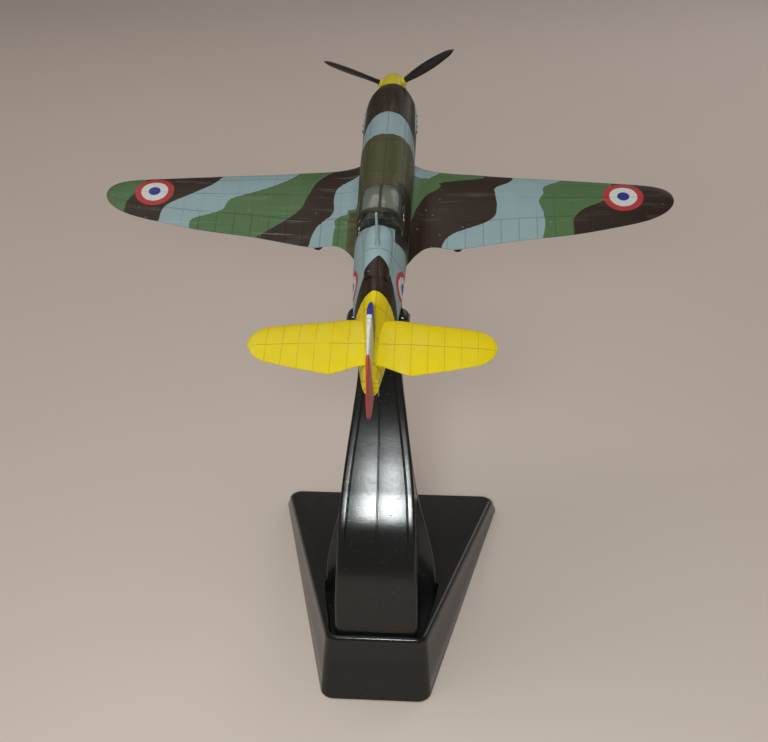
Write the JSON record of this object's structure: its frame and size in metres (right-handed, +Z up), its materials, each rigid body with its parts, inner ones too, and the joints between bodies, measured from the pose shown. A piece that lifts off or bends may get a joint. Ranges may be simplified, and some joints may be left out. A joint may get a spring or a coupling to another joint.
{
  "type": "propeller plane display model",
  "caption": "Single-engine propeller fighter display model in camouflage with a yellow tail, spinning propeller and rolling wheels, resting nose-up in the cradle of a black wedge stand.",
  "frame": {"origin": "on the table, at the bottom centre of the whole model's box", "axes": "+Z up, nose of the plane towards -Y, port (left) wing towards +X"},
  "size_m": [0.1412, 0.1116, 0.1363],
  "materials": {
    "stand_black": "glossy moulded plastic",
    "camouflage_paint": "satin camouflage paint over cast metal",
    "tail_paint": "semi-gloss yellow",
    "spinner_paint": "semi-gloss yellow",
    "blade_plastic": "satin black",
    "clear_plastic": "clear moulded plastic with painted frames",
    "cockpit_plastic": "matt dark green-grey",
    "gear_paint": "satin light blue-grey paint",
    "wheel_plastic": "matt black tyre with grey hub",
    "exhaust_paint": "matt burnt brown",
    "fastener_steel": "plated steel"
  },
  "bodies": {
    "stand": {"base_shell": "stand_black", "base_bottom_cover": "stand_black", "cover_screw_1": "fastener_steel", "cover_screw_2": "fastener_steel", "cover_screw_3": "fastener_steel", "cover_screw_4": "fastener_steel", "arm_screw_1": "fastener_steel", "arm_screw_2": "fastener_steel", "arm_rear_shell": "stand_black", "arm_front_cover": "stand_black", "cradle": "stand_black", "cradle_screw": "fastener_steel"},
    "airframe": {"fuselage_shell": "camouflage_paint", "wing_casting": "camouflage_paint", "fuselage_screw_1": "fastener_steel", "fuselage_screw_2": "fastener_steel", "radiator_bath": "camouflage_paint", "tailplane_left": "tail_paint", "tailplane_right": "tail_paint", "fin_and_rudder": "tail_paint", "tail_wheel_fork": "gear_paint", "tail_wheel": "wheel_plastic", "cockpit_tub": "cockpit_plastic", "pilot_seat": "cockpit_plastic", "instrument_panel": "cockpit_plastic", "control_stick": "cockpit_plastic", "canopy": "clear_plastic", "aerial_mast": "camouflage_paint", "exhaust_left": "exhaust_paint", "exhaust_right": "exhaust_paint", "oil_cooler_scoop": "camouflage_paint", "shaft_bush": "fastener_steel", "gear_leg_left": "gear_paint", "gear_door_left": "gear_paint", "wheel_axle_left": "fastener_steel", "gear_leg_right": "gear_paint", "gear_door_right": "gear_paint", "wheel_axle_right": "fastener_steel"},
    "propeller": {"spinner": "spinner_paint", "propeller_blades": "blade_plastic", "propeller_shaft": "fastener_steel", "shaft_retainer": "fastener_steel"},
    "wheel_left": {"main_wheel_left": "wheel_plastic"},
    "wheel_right": {"main_wheel_right": "wheel_plastic"}
  },
  "joints": [
    {"name": "airframe_lift", "type": "slide", "parent": "stand", "child": "airframe", "axis": [0, 0.342, 0.9397], "range_m": [0, 0.03]},
    {"name": "propeller_spin", "type": "hinge", "parent": "airframe", "child": "propeller", "pos_m": [0, -0.04884, 0.1249], "axis": [0, -0.9397, 0.342], "continuous": true},
    {"name": "wheel_left_spin", "type": "hinge", "parent": "airframe", "child": "wheel_left", "pos_m": [0.0184, -0.01674, 0.09556], "axis": [1, 0, 0], "continuous": true},
    {"name": "wheel_right_spin", "type": "hinge", "parent": "airframe", "child": "wheel_right", "pos_m": [-0.0184, -0.01674, 0.09556], "axis": [1, 0, 0], "continuous": true}
  ]
}
